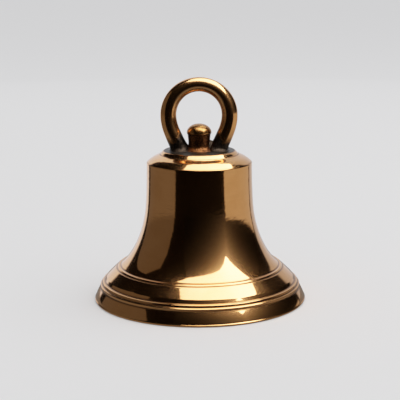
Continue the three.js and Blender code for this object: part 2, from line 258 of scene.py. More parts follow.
def cubic_drop(start, end, start_turn, start_share, end_turn, end_share, count):
    """A cubic from start down to end whose ends lean outward by so much for each unit of drop."""
    drop = start[1] - end[1]
    return bezier(
        start,
        (start[0] + start_turn * start_share * drop, start[1] - start_share * drop),
        (end[0] - end_turn * end_share * drop, end[1] + end_share * drop),
        end,
        count,
    )


def waist_and_flare():
    """The two long curves of the outside. They stand upright at the shoulder, lean out by 0.12 for
    each unit of drop where they meet, and by 1.18 at the first moulding."""
    meeting_lean, flare_lean = 0.12, 1.18
    waist = cubic_drop((SHOULDER_R, SHOULDER_Z - 0.2), WAIST_FOOT, 0, 0.25, meeting_lean, 0.24, 40)
    flare = cubic_drop(WAIST_FOOT, FLARE_FOOT, meeting_lean, 0.39, flare_lean, 0.2, 60)
    return waist, flare


def bell_outline():
    """The bell's section as one closed loop: crown, shoulder, waist, flare, mouldings and lip
    down the outside, the rim, and up the inside at a wall that grows towards the sound bow."""
    under_z = CROWN_Z - CROWN_WALL
    waist, flare = waist_and_flare()
    ledge = (FLARE_FOOT[0] + 0.9, FLARE_FOOT[1] - 0.7)
    upper_foot = (SKIRT_TOP[0] - 1.3, SKIRT_TOP[1] + 0.9)
    skirt_end = (SKIRT_FOOT[0] - 1.9, SKIRT_FOOT[1] + 3.0)
    skirt_toe = (SKIRT_FOOT[0] - 1.3, SKIRT_FOOT[1] + 2.4)
    step_top = (SKIRT_FOOT[0] - 0.9, SKIRT_FOOT[1] + 1.6)
    bead_1 = (SKIRT_FOOT[0] + 1.2, SKIRT_FOOT[1] - 0.9)
    gap_1 = (bead_1[0] + 1.9, bead_1[1] - 2.1)
    bead_2 = (gap_1[0] + 0.5, gap_1[1] - 0.7)
    gap_2 = (bead_2[0] + 1.3, bead_2[1] - 2.1)
    rim_foot = (CROWN_DISC_R + 2.0, CROWN_Z - 2.9)
    bevel_foot = (SHOULDER_R - 6.4, SHOULDER_Z + 5.1)
    outside = chain(
        np.linspace((BOLT_HOLE_R, CROWN_Z), (CROWN_DISC_R - 2.4, CROWN_Z), 16),
        bezier((CROWN_DISC_R - 2.4, CROWN_Z), (CROWN_DISC_R - 0.6, CROWN_Z),
               (CROWN_DISC_R + 0.3, CROWN_Z - 1.0), rim_foot, 12),
        bezier(rim_foot, (CROWN_DISC_R + 3.6, CROWN_Z - 4.3), (SHOULDER_R - 8.4, SHOULDER_Z + 6.2),
               bevel_foot, 20),
        bezier(bevel_foot, (SHOULDER_R - 4.2, SHOULDER_Z + 3.9), (SHOULDER_R - 1.6, SHOULDER_Z + 1.9),
               (SHOULDER_R - 0.5, SHOULDER_Z + 0.7), 12),
        bezier((SHOULDER_R - 0.5, SHOULDER_Z + 0.7), (SHOULDER_R - 0.1, SHOULDER_Z + 0.3),
               (SHOULDER_R, SHOULDER_Z), (SHOULDER_R, SHOULDER_Z - 0.2), 5),
        waist,
        flare,
        ridge(FLARE_FOOT, ledge, -0.15, 5),
        ridge(ledge, upper_foot, 0.5, 13),
        ridge(upper_foot, SKIRT_TOP, -0.4, 7),
        bezier(SKIRT_TOP, (MOUTH_R - 17.6, 27.9), (MOUTH_R - 14.6, 25.0), skirt_end, 20),
        bezier(skirt_end, skirt_toe, skirt_toe, step_top, 7),
        np.linspace(step_top, SKIRT_FOOT, 4),
        ridge(SKIRT_FOOT, bead_1, -0.4, 6),
        ridge(bead_1, gap_1, 0.55, 13),
        ridge(gap_1, bead_2, -0.35, 6),
        ridge(bead_2, gap_2, 0.5, 13),
        ridge(gap_2, LIP_TOP, -0.35, 6),
        bezier(LIP_TOP, (MOUTH_R - 3.3, 9.3), (MOUTH_R - 1.45, 5.35), (MOUTH_R - 0.35, 2.1), 16),
        arc((MOUTH_R - RIM_ROUND, RIM_ROUND), RIM_ROUND, 20, -90, 9),
    )
    bow = bezier(FLARE_FOOT, (MOUTH_R - 22.0, 30.2), (MOUTH_R - 15.5, 23.9), SKIRT_FOOT, 12)
    body_line = chain(waist, flare, bow)
    share = np.clip(np.arange(len(body_line)) - len(waist), 0, len(flare)) / len(flare)
    inner = offset(body_line, WAIST_WALL + (BOW_WALL - WAIST_WALL) * share)
    inner = inner[inner[:, 1] < under_z - INNER_CORNER_R - 1][::2]
    rim_in = MOUTH_R - RIM_ROUND - RIM_LAND
    corner_centre = (SHOULDER_R - WAIST_WALL - INNER_CORNER_R, under_z - INNER_CORNER_R)
    inside = chain(
        np.linspace((BOLT_HOLE_R, under_z), (corner_centre[0], under_z), 10),
        arc(corner_centre, INNER_CORNER_R, 90, 0, 10),
        inner,
        bezier(inner[-1], (MOUTH_R - 13.5, 9.5), (MOUTH_R - 9.0, 4.6), (rim_in - 0.4, 0.5), 10),
        ((rim_in, 0.0),),
    )
    return chain(outside, inside[::-1])


# ---- The hanging loop ----

LOOP_R = 28.5
BAR_R = 7.5
BAR_THINNING = 0.8
LOOP_CENTRE_Z = LOOP_TOP_Z - LOOP_R - (BAR_R - BAR_THINNING)
LOOP_FOOT_X = 17.6
LOOP_LEAN = 0.42


def loop_path():
    """Centre line of the loop: a leg curve up from the left foot, a half circle, a leg down."""
    grip = 0.36 * (LOOP_CENTRE_Z - CROWN_Z)
    sink = 0.6
    foot = (LOOP_FOOT_X - LOOP_LEAN * sink, CROWN_Z - sink)
    leg = bezier(foot, (LOOP_FOOT_X + LOOP_LEAN * grip, CROWN_Z + grip),
                 (LOOP_R, LOOP_CENTRE_Z - grip), (LOOP_R, LOOP_CENTRE_Z), 60)
    top = arc((0, LOOP_CENTRE_Z), LOOP_R, 0, 180, 90)
    right_to_left = chain(leg, top, leg[::-1] * (-1, 1))
    return np.stack([right_to_left[:, 0], np.zeros(len(right_to_left)), right_to_left[:, 1]], 1)


def crown_loop():
    """The bar's section carried round the loop: path + radius (cos a outward + sin a across). It is
    thinnest at the top and fuller down the sides. At the feet its rings lie level with the crown,
    and it spreads into cast fillets that die away by exp(-height / 1.6 mm)."""
    path = loop_path()
    z = path[:, 2]
    rise = np.clip((z - LOOP_CENTRE_Z) / LOOP_R, 0, 1)
    fall = np.clip((LOOP_CENTRE_Z - z) / (LOOP_CENTRE_Z - CROWN_Z), 0, 1)
    radius = BAR_R - BAR_THINNING * rise**2 + 0.4 * fall
    fillet = 3.4 * np.exp(-np.clip(z - CROWN_Z, 0, None) / 1.6)
    along = np.gradient(path, axis=0)
    along /= np.linalg.norm(along, axis=1)[:, None]
    outward = np.stack([along[:, 2], np.zeros(len(z)), -along[:, 0]], 1)
    level = np.clip(1 - (z - CROWN_Z) / 9, 0, 1)[:, None] ** 2
    flat = np.sign(path[:, :1]) * np.array([[1.0, 0, 0]])
    outward = outward * (1 - level) + flat * level
    stretch = 1 + 0.09 * level[:, 0]
    outward /= np.linalg.norm(outward, axis=1)[:, None]
    side = np.broadcast_to([0.0, 1.0, 0.0], outward.shape)
    a = np.linspace(0, 2 * np.pi, 96, endpoint=False)
    out_r, side_r = (radius * stretch + fillet)[:, None, None], (radius + fillet)[:, None, None]
    cos, sin = np.cos(a)[None, :, None], np.sin(a)[None, :, None]
    ring = out_r * cos * outward[:, None] + side_r * sin * side[:, None]
    return closed_surface(path[:, None] + ring, wrap_rows=False)


def casting_web():
    """A web of metal left between the boss and the right leg where the mould washed out. Sections
    across it are arches: half thickness and crest height grow by 1 - cos of the way from mid span."""
    root_z = CROWN_Z + 1.0
    x = np.linspace(7.0, 20.5, 28)
    sag = 1 - np.cos((x - 14.0) / 7.0)
    crest = CROWN_Z + 8.6 + 7.0 * sag
    half = 3.4 + 2.4 * sag
    a = np.linspace(0, np.pi, 26)
    across = np.concatenate([np.cos(a), [-1.12, 1.12]])
    up = np.concatenate([np.sin(a) ** 0.8, [0.0, 0.0]])
    grid = np.stack([
        np.broadcast_to(x[:, None], (len(x), len(across))),
        half[:, None] * across * (1.5 - 0.5 * up),
        root_z + (crest - root_z)[:, None] * up - (up == 0) * 1.6,
    ], -1)
    return closed_surface(grid, wrap_rows=False)


def crown_boss():
    """Half section of the boss: a quarter ellipse for the dome, a rim, a neck that narrows downward,
    and a cast fillet at its foot that dies away by exp(-height / 1.9 mm)."""
    dome_r, dome_h = 11.6, 8.3
    rim_z = BOSS_TOP_Z - dome_h
    neck_top = rim_z - 2.0
    foot_z = CROWN_Z - 0.4
    dome = arc((0, 0), 1, 90, 0, 22) * (dome_r, dome_h) + (0, rim_z)
    neck_z = np.linspace(neck_top, foot_z, 24)
    neck_r = 9.6 + 1.2 * ((neck_z - CROWN_Z) / (neck_top - CROWN_Z)).clip(0, 1) ** 1.5
    neck_r = neck_r + 5.0 * np.exp(-np.clip(neck_z - CROWN_Z, 0, None) / 1.9)
    return chain(dome, [(dome_r - 0.05, rim_z - 0.5), (dome_r - 0.4, rim_z - 1.1)],
                 np.stack([neck_r, neck_z], 1), [(0.0, foot_z)])


# ---- The clapper and what holds it ----

# Clearance between parts that stack or fit into one another.
GAP = 0.3
PAD_LOW, PAD_HIGH = cad_box("staple_pad")
COLLAR_TOP_Z = PAD_LOW[2] - GAP
COLLAR_FOOT_Z = COLLAR_TOP_Z - 4
CHEEK_IN_Y = cad_box("pin_washer_back")[1][1] + GAP
CHEEK_T = 4.0
CHEEK_OUT_Y = CHEEK_IN_Y + CHEEK_T
CHEEK_R = 8.0
PIN_R = 3.0
BUSH_R = 4.9
BOLT_R = 4.9
BOLT_TOP_Z = cad_box("clapper_staple")[1][2]
BALL_LOW, BALL_HIGH = cad_box("clapper_ball")
BALL_Z = (BALL_LOW[2] + BALL_HIGH[2]) / 2
BALL_R = BALL_HIGH[0]
SHANK_LOW, SHANK_HIGH = cad_box("clapper_shank")
EYE_R = SHANK_HIGH[2] - PIVOT_Z
EYE_T = 8.0
STUD_R = 3.5
STUD_HOLE_R = STUD_R + GAP
WASHER_LOW, WASHER_HIGH = cad_box("ball_washer")
RING_R = 6.0
LANYARD_HOLE_Z = cad_box("lanyard_eye")[0][2] + RING_R


def rounded_bar(profile_r, low, high, round_r, steps=5):
    """Half section of a turned rod or disc whose rims are arcs of round_r."""
    return chain(
        ((0.0, low),),
        arc((profile_r - round_r, low + round_r), round_r, -90, 0, steps),
        arc((profile_r - round_r, high - round_r), round_r, 0, 90, steps),
        ((0.0, high),),
    )


def rounded_ring(inner, outer, low, high, round_r):
    """Closed section of a washer or bush, a rectangle with rounded corners."""
    return rounded_loop([(inner, low), (outer, low), (outer, high), (inner, high)], round_r, 4)


def plate_with_hole(outline, hole_r, hole_centre, back, front, edge, steps=4):
    """A flat plate between y = back and y = front. Each of its rings blends the outline with the
    round hole: out along one face, over the rounded edge, back along the other face, and through
    the hole, so that the plate is one closed ring of quads."""
    outline = np.asarray(outline, float)
    centre = np.array(hole_centre, float)
    spread = outline - centre
    length = np.linalg.norm(spread, axis=1)[:, None]
    unit = spread / length
    quarter = np.radians(np.linspace(90, 0, steps))
    rings = [(0.0, front, 0.0), (0.35, front, 0.0), (0.8, front, 0.0)]
    rings += [(1.0, front - edge * (1 - math.sin(a)), edge * (1 - math.cos(a))) for a in quarter]
    rings += [(1.0, back + edge * (1 - math.sin(a)), edge * (1 - math.cos(a))) for a in quarter[::-1]]
    rings += [(0.8, back, 0.0), (0.35, back, 0.0), (0.0, back, 0.0)]
    rows = []
    for share, y, inset in rings:
        reach = hole_r + (length - hole_r) * share - inset
        at = centre + unit * reach
        rows.append(np.stack([at[:, 0], np.full(len(at), y), at[:, 1]], 1))
    return closed_surface(np.stack(rows), wrap_rows=True)


def cheek_outline(count=72):
    """Outline of one staple cheek seen from the front: a strap with a half round end."""
    top = COLLAR_FOOT_Z + 0.4
    a = np.linspace(0, 2 * np.pi, count, endpoint=False)
    x, z = np.cos(a), np.sin(a)
    to_top = (top - PIVOT_Z) / np.maximum(z, 1e-6)
    to_side = CHEEK_R / np.maximum(np.abs(x), 1e-6)
    reach = np.where(z > 0, np.minimum(to_top, to_side), CHEEK_R)
    return np.stack([reach * x, PIVOT_Z + reach * z], 1)


def staple_surfaces():
    """Bolt, round collar and the two cheeks of the forked staple."""
    bolt = rounded_bar(BOLT_R, COLLAR_FOOT_Z + 1, BOLT_TOP_Z, 0.8)
    collar = rounded_bar(13.0, COLLAR_FOOT_Z, COLLAR_TOP_Z, 0.7)
    plates = [
        plate_with_hole(cheek_outline(), PIN_R + GAP, (0, PIVOT_Z), back, back + CHEEK_T, 0.6)
        for back in (-CHEEK_OUT_Y, CHEEK_IN_Y)
    ]
    return [revolve(bolt, 32), revolve(collar, 64)] + plates


def pin_surfaces():
    """The pivot pin: a round bar with a domed head in front and a chamfered tail behind."""
    head_y = -CHEEK_OUT_Y - GAP
    tail_y = CHEEK_OUT_Y + 5
    section = chain(
        ((0.0, head_y - 2.0),),
        bezier((0.01, head_y - 2.0), (2.6, head_y - 2.0), (4.3, head_y - 1.7), (5.0, head_y - 0.9), 9),
        ((5.0, head_y - 0.2), (4.8, head_y), (PIN_R, head_y), (PIN_R, tail_y - 0.7), (PIN_R - 0.6, tail_y)),
        ((0.0, tail_y),),
    )
    return [revolve(section, 36, "y", (0, 0, PIVOT_Z))]


def split_pin_surfaces():
    """A split pin bent from one wire: a leg up through the pin's hole, round the ring, and down the
    other leg, both legs' ends turned outward round the pivot pin."""
    low, high = cad_box("split_pin")
    wire = 0.38
    ring_r = 1.35
    ring_z = high[2] - ring_r - 0.5
    y = (low[1] + high[1]) / 2
    foot = low[2] + 0.9
    right = chain(
        bezier((1.9, foot - 0.1), (1.2, foot - 0.3), (0.36, foot + 0.1), (0.36, foot + 1.4), 10),
        np.linspace((0.36, foot + 1.4), (0.36, ring_z - ring_r - 0.7), 14),
        bezier((0.36, ring_z - ring_r - 0.7), (0.36, ring_z - ring_r), (ring_r, ring_z - 0.9),
               (ring_r, ring_z), 8),
    )
    top = arc((0, ring_z), ring_r, 0, 180, 20)
    line = chain(right, top, right[::-1] * (-1, 1))
    path = np.stack([line[:, 0], np.full(len(line), y), line[:, 1]], 1)
    along = np.gradient(path, axis=0)
    along /= np.linalg.norm(along, axis=1)[:, None]
    side = np.broadcast_to([0.0, 1.0, 0.0], path.shape)
    return [tube(path, wire, np.cross(along, side), side, 12)]


def shank_surfaces():
    """The clapper's forged bar: an eye at the top, a taper that swells to a stop above the ball,
    and a stud below it."""
    stop_z = BALL_HIGH[2] + GAP
    stud_z = SHANK_LOW[2]
    eye_foot = PIVOT_Z - EYE_R
    bar = chain(
        ((0.0, stud_z), (STUD_R - 0.4, stud_z), (STUD_R, stud_z + 0.4), (STUD_R, stop_z)),
        arc((6.1, stop_z + 0.5), 0.5, -90, 0, 4),
        bezier((6.6, stop_z + 1.9), (6.6, stop_z + 3.0), (5.1, stop_z + 3.4), (5.0, stop_z + 5.0), 8),
        bezier((5.0, stop_z + 5.0), (4.7, stop_z + 22), (4.1, eye_foot - 16), (4.0, eye_foot - 4), 18),
        bezier((4.0, eye_foot - 4), (4.0, eye_foot - 1), (4.6, eye_foot + 0.6), (3.8, eye_foot + 1.6), 8),
        ((0.0, eye_foot + 1.6),),
    )
    a = np.linspace(0, 2 * np.pi, 64, endpoint=False)
    eye = np.stack([EYE_R * np.cos(a), PIVOT_Z + EYE_R * np.sin(a)], 1)
    half = EYE_T / 2
    return [revolve(bar, 40), plate_with_hole(eye, BUSH_R + GAP, (0, PIVOT_Z), -half, half, 1.4, 6)]


def ball_surfaces():
    """The clapper ball, cut flat above and below and bored for the stud, its rims rounded."""
    flat_r, bevel = 6.0, 0.5
    cut = math.degrees(math.acos((flat_r + 0.6) / BALL_R))
    section = chain(
        ((STUD_HOLE_R, BALL_LOW[2] + bevel), (STUD_HOLE_R + bevel, BALL_LOW[2]), (flat_r, BALL_LOW[2])),
        arc((0, BALL_Z), BALL_R, -cut, cut, 44),
        ((flat_r, BALL_HIGH[2]), (STUD_HOLE_R + bevel, BALL_HIGH[2]), (STUD_HOLE_R, BALL_HIGH[2] - bevel)),
    )
    return [revolve(section, 96)]


def lock_washer_surfaces():
    """A spring washer: a square bar carried once round with its two ends a little apart in height."""
    turn = np.radians(np.linspace(6, 354, 60))
    lift = np.linspace(-0.12, 0.12, 60)
    foot, head = WASHER_LOW[2] + 0.15, WASHER_HIGH[2] - 0.15
    bar = rounded_loop([(3.9, foot), (6.2, foot), (6.2, head), (3.9, head)], 0.25, 4)
    r, z = bar[:, 0], bar[:, 1]
    grid = np.stack([
        np.cos(turn)[:, None] * r,
        np.sin(turn)[:, None] * r,
        z + lift[:, None],
    ], -1)
    return [closed_surface(grid, wrap_rows=False)]


def lanyard_eye_surfaces():
    """A brass eye: a hub threaded on the stud and a rounded ring below it for the bell rope."""
    hub_top = WASHER_LOW[2] - GAP
    hub = rounded_loop([(STUD_HOLE_R, hub_top - 4.6), (5.2, hub_top - 5.6), (RING_R, hub_top - 4.2),
                        (RING_R, hub_top), (STUD_HOLE_R, hub_top)], 0.6, 4)
    a = np.linspace(0, 2 * np.pi, 56, endpoint=False)
    ring = np.stack([RING_R * np.cos(a), LANYARD_HOLE_Z + RING_R * np.sin(a)], 1)
    return [revolve(hub, 40), plate_with_hole(ring, 3.3, (0, LANYARD_HOLE_Z), -2.3, 2.3, 1.2, 6)]


# ---- Materials ----

MATH, NOISE, STEP, MIX = "ShaderNodeMath", "ShaderNodeTexNoise", "ShaderNodeMapRange", "ShaderNodeMix"
BSDF = "ShaderNodeBsdfPrincipled"
TIMES, PLUS, LESS = {"operation": "MULTIPLY"}, {"operation": "ADD"}, {"operation": "SUBTRACT"}
TIMES_PLUS = {"operation": "MULTIPLY_ADD"}
SMOOTH = {"interpolation_type": "SMOOTHSTEP"}
COLOURS = {"data_type": "RGBA"}


def linear(code):
    """sRGB hex colour to the linear RGBA that shaders take."""
    rgb = np.array([int(code[i : i + 2], 16) for i in (1, 3, 5)]) / 255
    rgb = np.where(rgb <= 0.04045, rgb / 12.92, ((rgb + 0.055) / 1.055) ** 2.4)
    return (*rgb.tolist(), 1.0)


def add(tree, kind, settings=None, **links):
    """Adds a node. Settings are its own properties. Each link names an input, or gives its number
    after the letter i, and holds a value, a socket, or a node whose first working output is used."""
    node = tree.nodes.new(kind)
    for key, value in (settings or {}).items():
        setattr(node, key, value)
    for key, value in links.items():
        numbered = key[0] == "i" and key[1:].isdigit()
        socket = node.inputs[int(key[1:]) if numbered else key.replace("_", " ")]
        if isinstance(value, bpy.types.Node):
            value = next(output for output in value.outputs if output.enabled)
        if isinstance(value, bpy.types.NodeSocket):
            tree.links.new(value, socket)
        else:
            socket.default_value = value
    return node


def new_material(name):
    """A material with an empty node tree, and the tree."""
    material = bpy.data.materials.new(name)
    material.use_nodes = True
    material.node_tree.nodes.clear()
    return material, material.node_tree


def buffed_bronze(name, tones, crust_tones, turned, shine, dullest, haze):
    """Cast bell bronze, turned or filed to shape and then buffed with compound. The eye gets a
    mirror with a warm tint, a thin haze round each highlight from the compound's fine scratches,
    reflections whose edges waver because a tool and a mop never leave metal quite flat, brown
    tarnish in the grooves and beside the crust, and dark granular casting skin where no tool went."""
    material, tree = new_material(name)
    place = add(tree, "ShaderNodeTexCoord").outputs["Object"]
    split = add(tree, "ShaderNodeSeparateXYZ", Vector=place)
    skin = add(tree, "ShaderNodeAttribute", {"attribute_name": "cast_skin"}).outputs["Fac"]
    groove = add(tree, "ShaderNodeAttribute", {"attribute_name": "groove"}).outputs["Fac"]

    # Casting skin ends raggedly: sand grain of 1 to 3 mm breaks up its edge, and a brown tarnish
    # that the mop could not reach lies along it.
    sand_edge = add(tree, NOISE, Vector=place, Scale=420.0, Detail=4.0)
    shift = add(tree, MATH, TIMES_PLUS, i0=sand_edge, i1=0.55, i2=-0.275)
    ragged = add(tree, MATH, PLUS, i0=skin, i1=shift)
    crust_part = add(tree, STEP, SMOOTH, Value=ragged, From_Min=0.5, From_Max=0.8)
    tarnish = add(tree, STEP, SMOOTH, Value=ragged, From_Min=0.12, From_Max=0.62)

    # Mop waver: swells about 14 mm long, and a shorter ripple of 4 mm.
    swell = add(tree, NOISE, Vector=place, Scale=70.0, Detail=1.0)
    ripple = add(tree, NOISE, Vector=place, Scale=260.0, Detail=2.0)
    if turned:
        # Lathe lines run round the axis 0.4 mm apart, and change only slowly along their length.
        squared = add(tree, MATH, TIMES, i0=split.outputs[0], i1=split.outputs[0])
        squared = add(tree, MATH, TIMES_PLUS, i0=split.outputs[1], i1=split.outputs[1], i2=squared)
        radius = add(tree, MATH, {"operation": "SQRT"}, i0=squared)
        across = add(tree, "ShaderNodeCombineXYZ", X=add(tree, MATH, TIMES, i0=radius, i1=2300.0),
                     Y=add(tree, MATH, TIMES, i0=split.outputs[0], i1=14.0),
                     Z=add(tree, MATH, TIMES, i0=split.outputs[2], i1=2300.0))
        lines = add(tree, NOISE, Vector=across, Scale=1.0, Detail=3.0)
        # Chatter of the lathe tool: low facets about 5 mm long round the bell and 2.6 mm high, deep
        # on the slender waist and slight on the stiff mouth.
        facets = add(tree, "ShaderNodeMapping", Vector=place, Scale=(190.0, 190.0, 380.0))
        facets = add(tree, NOISE, Vector=facets, Scale=1.0, Detail=1.0)
        slender = add(tree, STEP, SMOOTH, Value=split.outputs[2], From_Min=0.05, From_Max=0.09,
                      To_Min=18e-6, To_Max=80e-6)
        chatter = add(tree, MATH, TIMES, i0=facets, i1=slender)
    else:
        lines = add(tree, NOISE, Vector=place, Scale=1500.0, Detail=3.0)
        chatter = add(tree, MATH, TIMES, i0=ripple, i1=10e-6)

    cloud = add(tree, NOISE, Vector=place, Scale=34.0, Detail=5.0, Roughness=0.62)
    warm = add(tree, STEP, SMOOTH, Value=cloud, From_Min=0.35, From_Max=0.7)
    metal = add(tree, MIX, COLOURS, i0=warm, i6=linear(tones[0]), i7=linear(tones[1]))
    streak = add(tree, STEP, SMOOTH, Value=lines, From_Min=0.45, From_Max=0.75, To_Max=0.16)
    metal = add(tree, MIX, COLOURS, i0=streak, i6=metal, i7=linear(tones[2]))
    in_groove = add(tree, MATH, TIMES, i0=groove, i1=0.8)
    metal = add(tree, MIX, COLOURS, i0=in_groove, i6=metal, i7=linear("#4a2a12"))
    browned = add(tree, MATH, TIMES, i0=tarnish, i1=0.85)
    metal = add(tree, MIX, COLOURS, i0=browned, i6=metal, i7=linear("#5a3a20"))
    grain = add(tree, NOISE, Vector=place, Scale=900.0, Detail=6.0, Roughness=0.7)
    lumps = add(tree, NOISE, Vector=place, Scale=230.0, Detail=3.0)
    grain_tone = add(tree, STEP, SMOOTH, Value=grain, From_Min=0.38, From_Max=0.68)
    crust = add(tree, MIX, COLOURS, i0=grain_tone, i6=linear(crust_tones[0]), i7=linear(crust_tones[1]))
    colour = add(tree, MIX, COLOURS, i0=crust_part, i6=metal, i7=crust)

    gloss = add(tree, STEP, SMOOTH, Value=cloud, From_Min=0.4, From_Max=0.75, To_Min=shine,
                To_Max=shine + 0.035)
    gloss = add(tree, MATH, TIMES_PLUS, i0=groove, i1=0.22, i2=gloss)
    gloss = add(tree, MATH, TIMES_PLUS, i0=tarnish, i1=0.2, i2=gloss)
    dull = add(tree, MATH, TIMES_PLUS, i0=grain, i1=0.3, i2=dullest)
    roughness = add(tree, MIX, {"data_type": "FLOAT"}, i0=crust_part, i2=gloss, i3=dull)

    height = add(tree, MATH, TIMES_PLUS, i0=swell, i1=24e-6, i2=chatter)
    height = add(tree, MATH, TIMES_PLUS, i0=ripple, i1=6e-6, i2=height)
    height = add(tree, MATH, TIMES_PLUS, i0=lines, i1=0.7e-6, i2=height)
    grain_height = add(tree, MATH, TIMES, i0=grain, i1=0.16e-3)
    crust_height = add(tree, MATH, TIMES_PLUS, i0=lumps, i1=0.5e-3, i2=grain_height)
    height = add(tree, MIX, {"data_type": "FLOAT"}, i0=crust_part, i2=height, i3=crust_height)
    bump = add(tree, "ShaderNodeBump", Height=height, Strength=1.0, Distance=1.0)
    mirror = add(tree, BSDF, Base_Color=colour, Roughness=roughness, Normal=bump, Metallic=1.0)
    scratched = add(tree, BSDF, Base_Color=colour, Roughness=0.27, Normal=bump, Metallic=1.0)
    both = add(tree, "ShaderNodeMixShader", i0=haze, i1=mirror, i2=scratched)
    add(tree, "ShaderNodeOutputMaterial", Surface=both)
    return material


def worn_metal(name, light, dark, roughness, grit, pits):
    """A bare working metal, forged, drawn or turned and a little tarnished: its colour drifts
    between two tones, its gloss is uneven, and fine pits or tool marks break up the highlight."""
    material, tree = new_material(name)
    place = add(tree, "ShaderNodeTexCoord").outputs["Object"]
    cloud = add(tree, NOISE, Vector=place, Scale=110.0, Detail=5.0, Roughness=0.6)
    fine = add(tree, NOISE, Vector=place, Scale=grit, Detail=4.0)
    tone = add(tree, STEP, SMOOTH, Value=cloud, From_Min=0.36, From_Max=0.66)
    colour = add(tree, MIX, COLOURS, i0=tone, i6=linear(dark), i7=linear(light))
    gloss = add(tree, MATH, TIMES_PLUS, i0=cloud, i1=0.3, i2=roughness - 0.15)
    pit_height = add(tree, MATH, TIMES, i0=fine, i1=pits)
    bump = add(tree, "ShaderNodeBump", Height=pit_height, Strength=1.0, Distance=1.0)
    shader = add(tree, BSDF, Base_Color=colour, Roughness=gloss, Normal=bump, Metallic=1.0)
    add(tree, "ShaderNodeOutputMaterial", Surface=shader)
    return material


def oiled_leather():
    """Vegetable tanned leather cut for a gasket and soaked in oil: dark brown, a close pebbled
    grain about 0.6 mm across, and a dull wax shine."""
    material, tree = new_material("oiled_leather")
    place = add(tree, "ShaderNodeTexCoord").outputs["Object"]
    pebbles = add(tree, "ShaderNodeTexVoronoi", {"feature": "SMOOTH_F1"}, Vector=place, Scale=1600.0)
    patch = add(tree, NOISE, Vector=place, Scale=140.0, Detail=4.0)
    colour = add(tree, MIX, COLOURS, i0=patch, i6=linear("#2f1c10"), i7=linear("#5a3a20"))
    pebble_height = add(tree, MATH, TIMES, i0=pebbles, i1=0.12e-3)
    bump = add(tree, "ShaderNodeBump", Height=pebble_height, Strength=1.0, Distance=1.0)
    shader = add(tree, BSDF, Base_Color=colour, Roughness=0.55, Normal=bump)
    add(tree, "ShaderNodeOutputMaterial", Surface=shader)
    return material


BRIGHT = ("#e4a970", "#dca066", "#bd8c56")
HANDLED = ("#c28e56", "#b07c46", "#966838")
BELL_BRONZE = buffed_bronze("turned_and_buffed_bronze", BRIGHT, ("#171513", "#524b44"), turned=True,
                            shine=0.05, dullest=0.3, haze=0.12)
LOOP_BRONZE = buffed_bronze("filed_and_buffed_bronze", BRIGHT, ("#15110f", "#4a4038"), turned=False,
                            shine=0.08, dullest=0.3, haze=0.25)
BOSS_BRONZE = buffed_bronze("filed_and_satin_bronze", HANDLED, ("#34190c", "#a06a42"), turned=False,
                            shine=0.17, dullest=0.2, haze=0.3)
BALL_BRONZE = worn_metal("cast_bronze_ball", "#b07a48", "#6a4528", 0.34, 700.0, 60e-6)
FORGED_STEEL = worn_metal("forged_steel", "#77736e", "#45413d", 0.42, 900.0, 90e-6)
TURNED_BRASS = worn_metal("turned_brass", "#d9b267", "#a87f3d", 0.28, 1800.0, 12e-6)
LEATHER = oiled_leather()

# ---- The pieces ----


def smooth_step(x, low, high):
    """0 below low, 1 above high, and 3 t^2 - 2 t^3 between them."""
    t = np.clip((x - low) / (high - low), 0, 1)
    return t * t * (3 - 2 * t)


def outside_radius():
    """Heights and the bell's outer radius at each, for telling the inside from the outside."""
    waist, flare = waist_and_flare()
    crown = ((CROWN_DISC_R, CROWN_Z), (SHOULDER_R, SHOULDER_Z + 0.9))
    mouth = (SKIRT_TOP, SKIRT_FOOT, LIP_TOP, (MOUTH_R, 0.0))
    line = chain(crown, waist, flare, mouth)[::-1]
    return line[:, 1], line[:, 0]


def bell_skin(v):
    """1 on the crown's flat round the feet, half all over the inside, where the casting was only
    brushed and has browned, and 0 where the bell is buffed."""
    r = np.hypot(v[:, 0], v[:, 1])
    to_middle = smooth_step(-r, -(CROWN_DISC_R + 0.9), -(CROWN_DISC_R - 2.6))
    on_crown = (v[:, 2] > CROWN_Z - 2.2) * to_middle
    outline_r = np.interp(v[:, 2], *outside_radius())
    inside = (r < outline_r - 2.2) * (v[:, 2] < CROWN_Z - 2) * (v[:, 2] > 0.3)
    return np.maximum(on_crown, 0.5 * inside)


# Radius, height and half width of each groove between the mouldings.
GROOVES = (
    (FLARE_FOOT[0] + 0.45, FLARE_FOOT[1] - 0.4, 0.7),
    (SKIRT_TOP[0] - 0.7, SKIRT_TOP[1] + 0.4, 0.85),
    (SKIRT_FOOT[0] + 0.6, SKIRT_FOOT[1] - 0.5, 1.0),
    (SKIRT_FOOT[0] + 3.35, SKIRT_FOOT[1] - 3.35, 0.8),
    (LIP_TOP[0] - 0.2, LIP_TOP[1] + 0.2, 0.85),
    (SHOULDER_R - 0.3, SHOULDER_Z + 1.0, 0.5),
)


def bell_grooves(v):
    """How deep in a groove a point lies: the largest of exp(-(distance / half width)^2) over the
    grooves."""
    r = np.hypot(v[:, 0], v[:, 1])
    depth = np.zeros(len(v))
    for groove_r, groove_z, width in GROOVES:
        depth = np.maximum(depth, np.exp(-(((r - groove_r) ** 2 + (v[:, 2] - groove_z) ** 2) / width**2)))
    return depth


def loop_skin(v):
    """1 on the loop's feet up to 3 mm, falling to 0 at 19 mm, and higher on the legs' inner side.
    The mop reaches the inside of the ring badly, so it stays at 0.36 there."""
    height = v[:, 2] - CROWN_Z
    inner = np.clip((LOOP_FOOT_X + 0.4 * height - np.abs(v[:, 0])) / 8, -0.2, 1)
    from_middle = np.hypot(v[:, 0], v[:, 2] - LOOP_CENTRE_Z)
    inside_ring = 0.36 * smooth_step(-from_middle, -(LOOP_R - 1.0), -(LOOP_R - 6.0))
    return np.maximum(smooth_step(-(height - 9.0 * inner), -19.0, -3.0), inside_ring)


